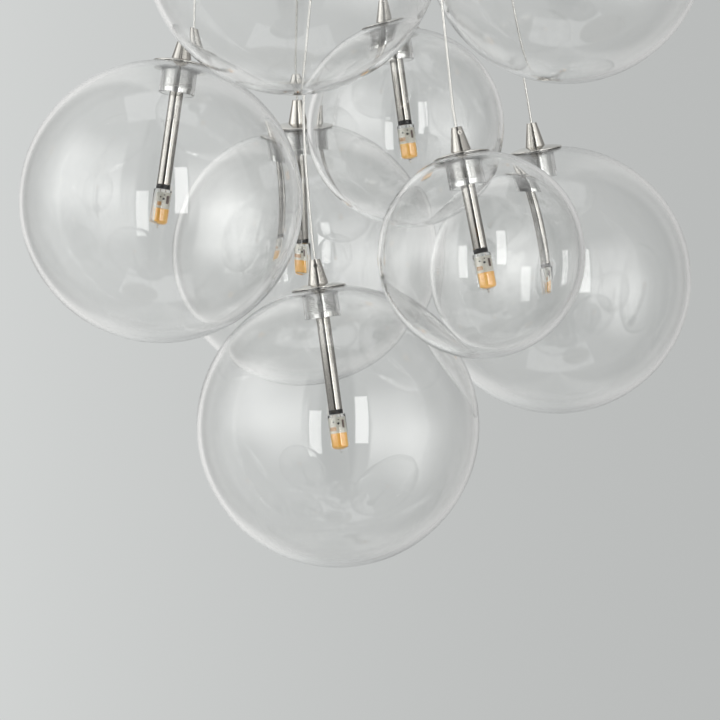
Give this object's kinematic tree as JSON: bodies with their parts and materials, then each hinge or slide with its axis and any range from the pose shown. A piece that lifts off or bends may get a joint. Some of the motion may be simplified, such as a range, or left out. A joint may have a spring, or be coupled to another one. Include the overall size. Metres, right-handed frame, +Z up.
{
  "type": "cluster pendant",
  "caption": "Cluster pendant of clear glass globes hung at different heights on thin braided cables, with nickel caps and small capsule lamps, from one round nickel canopy",
  "frame": {"origin": "middle of the ceiling bracket's top face, where it meets the ceiling", "axes": "+Z up, +X to the right and +Y away from the viewer of the front"},
  "size_m": [0.4876, 0.508, 0.8287],
  "materials": {
    "clear_glass": "clear blown glass, polished",
    "satin_nickel": "satin nickel plate",
    "polished_nickel": "lightly brushed nickel plate",
    "black_plastic": "moulded, heat resistant",
    "lamp_glass": "clear lamp cover with amber phosphor behind it",
    "braided_cable": "clear jacket over tinned copper braid",
    "zinc_steel": "zinc plated steel",
    "white_plastic": "moulded",
    "black_rubber": "soft moulded ring",
    "red_wire": "insulated wire"
  },
  "bodies": {
    "canopy": {"canopy_cover": "satin_nickel", "ceiling_bracket": "zinc_steel", "canopy_screws": "polished_nickel", "cable_glands": "polished_nickel", "gland_nuts": "zinc_steel", "cable_leads": "braided_cable", "led_driver": "white_plastic", "driver_screws": "zinc_steel", "output_terminal": "white_plastic", "mains_terminal": "white_plastic", "supply_grommet": "black_rubber", "driver_wires": "red_wire"},
    "left_pendant": {"left_globe": "clear_glass", "left_cap_and_stem": "satin_nickel", "left_cable_grip": "polished_nickel", "left_lampholder": "black_plastic", "left_cable": "braided_cable"},
    "left_bulb": {"left_lamp": "lamp_glass"},
    "back_pendant": {"back_globe": "clear_glass", "back_cap_and_stem": "satin_nickel", "back_cable_grip": "polished_nickel", "back_lampholder": "black_plastic", "back_cable": "braided_cable"},
    "back_bulb": {"back_lamp": "lamp_glass"},
    "lowest_pendant": {"lowest_globe": "clear_glass", "lowest_cap_and_stem": "satin_nickel", "lowest_cable_grip": "polished_nickel", "lowest_lampholder": "black_plastic", "lowest_cable": "braided_cable"},
    "lowest_bulb": {"lowest_lamp": "lamp_glass"},
    "small_middle_pendant": {"small_middle_globe": "clear_glass", "small_middle_cap_and_stem": "satin_nickel", "small_middle_cable_grip": "polished_nickel", "small_middle_lampholder": "black_plastic", "small_middle_cable": "braided_cable"},
    "small_middle_bulb": {"small_middle_lamp": "lamp_glass"},
    "small_right_pendant": {"small_right_globe": "clear_glass", "small_right_cap_and_stem": "satin_nickel", "small_right_cable_grip": "polished_nickel", "small_right_lampholder": "black_plastic", "small_right_cable": "braided_cable"},
    "small_right_bulb": {"small_right_lamp": "lamp_glass"},
    "right_pendant": {"right_globe": "clear_glass", "right_cap_and_stem": "satin_nickel", "right_cable_grip": "polished_nickel", "right_lampholder": "black_plastic", "right_cable": "braided_cable"},
    "right_bulb": {"right_lamp": "lamp_glass"},
    "top_left_pendant": {"top_left_globe": "clear_glass", "top_left_cap_and_stem": "satin_nickel", "top_left_cable_grip": "polished_nickel", "top_left_lampholder": "black_plastic", "top_left_cable": "braided_cable"},
    "top_left_bulb": {"top_left_lamp": "lamp_glass"},
    "top_right_pendant": {"top_right_globe": "clear_glass", "top_right_cap_and_stem": "satin_nickel", "top_right_cable_grip": "polished_nickel", "top_right_lampholder": "black_plastic", "top_right_cable": "braided_cable"},
    "top_right_bulb": {"top_right_lamp": "lamp_glass"}
  },
  "joints": [
    {"name": "left_swing", "type": "hinge", "parent": "canopy", "child": "left_pendant", "pos_m": [-0.07182, -0.00502, -0.053], "axis": [-0.2588, 0.9659, 0], "range_deg": [0, 10]},
    {"name": "left_bulb_pull", "type": "slide", "parent": "left_pendant", "child": "left_bulb", "axis": [-0.1372, -0.0554, -0.989], "range_m": [0, 0.009]},
    {"name": "back_swing", "type": "hinge", "parent": "canopy", "child": "back_pendant", "pos_m": [-0.02697, 0.06676, -0.053], "axis": [0.9848, 0.1736, 0], "range_deg": [0, 10]},
    {"name": "back_bulb_pull", "type": "slide", "parent": "back_pendant", "child": "back_bulb", "axis": [0.0309, 0.1783, -0.9835], "range_m": [0, 0.009]},
    {"name": "lowest_swing", "type": "hinge", "parent": "canopy", "child": "lowest_pendant", "pos_m": [0.01035, -0.03864, -0.053], "axis": [0.9962, 0.0872, 0], "range_deg": [0, 3]},
    {"name": "lowest_bulb_pull", "type": "slide", "parent": "lowest_pendant", "child": "lowest_bulb", "axis": [0.1374, 0.0127, -0.9904], "range_m": [0, 0.009]},
    {"name": "small_middle_swing", "type": "hinge", "parent": "canopy", "child": "small_middle_pendant", "pos_m": [0.00486, 0.02757, -0.053], "axis": [-1, 0, 0], "range_deg": [0, 1.2]},
    {"name": "small_middle_bulb_pull", "type": "slide", "parent": "small_middle_pendant", "child": "small_middle_bulb", "axis": [0.1339, -0.0315, -0.9905], "range_m": [0, 0.009]},
    {"name": "small_right_swing", "type": "hinge", "parent": "canopy", "child": "small_right_pendant", "pos_m": [0.03156, -0.06471, -0.053], "axis": [-0.8192, -0.5736, 0], "range_deg": [0, 10]},
    {"name": "small_right_bulb_pull", "type": "slide", "parent": "small_right_pendant", "child": "small_right_bulb", "axis": [0.1886, -0.0743, -0.9792], "range_m": [0, 0.009]},
    {"name": "right_swing", "type": "hinge", "parent": "canopy", "child": "right_pendant", "pos_m": [0.06235, 0.036, -0.053], "axis": [0.6428, -0.766, 0], "range_deg": [0, 10]},
    {"name": "right_bulb_pull", "type": "slide", "parent": "right_pendant", "child": "right_bulb", "axis": [0.1658, 0.1051, -0.9805], "range_m": [0, 0.009]},
    {"name": "top_left_swing", "type": "hinge", "parent": "canopy", "child": "top_left_pendant", "pos_m": [-0.02225, -0.06848, -0.053], "axis": [-0.9903, 0.1392, 0], "range_deg": [0, 10]},
    {"name": "top_left_bulb_pull", "type": "slide", "parent": "top_left_pendant", "child": "top_left_bulb", "axis": [-0.0512, -0.2046, -0.9775], "range_m": [0, 0.009]},
    {"name": "top_right_swing", "type": "hinge", "parent": "canopy", "child": "top_right_pendant", "pos_m": [0.06766, -0.02463, -0.053], "axis": [-0.5, -0.866, 0], "range_deg": [0, 10]},
    {"name": "top_right_bulb_pull", "type": "slide", "parent": "top_right_pendant", "child": "top_right_bulb", "axis": [0.2419, -0.0011, -0.9703], "range_m": [0, 0.009]}
  ]
}
